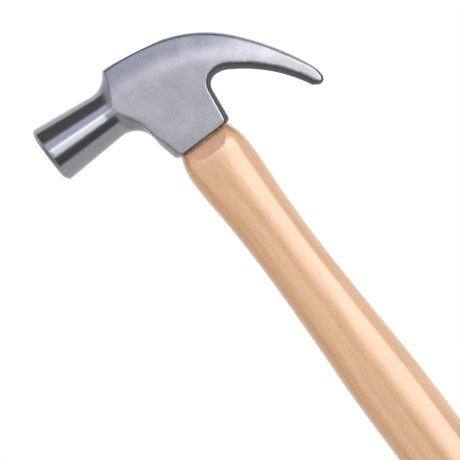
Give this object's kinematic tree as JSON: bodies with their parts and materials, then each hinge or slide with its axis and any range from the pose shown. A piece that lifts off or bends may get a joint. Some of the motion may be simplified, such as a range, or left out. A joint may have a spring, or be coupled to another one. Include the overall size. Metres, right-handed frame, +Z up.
{
  "type": "claw hammer",
  "caption": "Curved-claw carpenter's hammer: a forged, ground steel head with a round striking face and a split claw, wedged on a plain oval wooden handle.",
  "frame": {"origin": "centre of the flat butt of the handle, on the handle's axis", "axes": "+Z up the handle to the head, -X out of the striking face, +X towards the claw, Y across the cheeks"},
  "size_m": [0.1249, 0.0286, 0.33],
  "materials": {
    "ground_steel": "belt-ground drop-forged steel",
    "lacquered_wood": "clear-lacquered pale hardwood",
    "wedge_wood": "raw hardwood, sawn off flush",
    "wedge_steel": "mild steel, ground flush"
  },
  "bodies": {
    "root": {"head": "ground_steel", "handle": "lacquered_wood", "wooden_wedge": "wedge_wood", "steel_wedge_front": "wedge_steel", "steel_wedge_rear": "wedge_steel"}
  },
  "joints": []
}
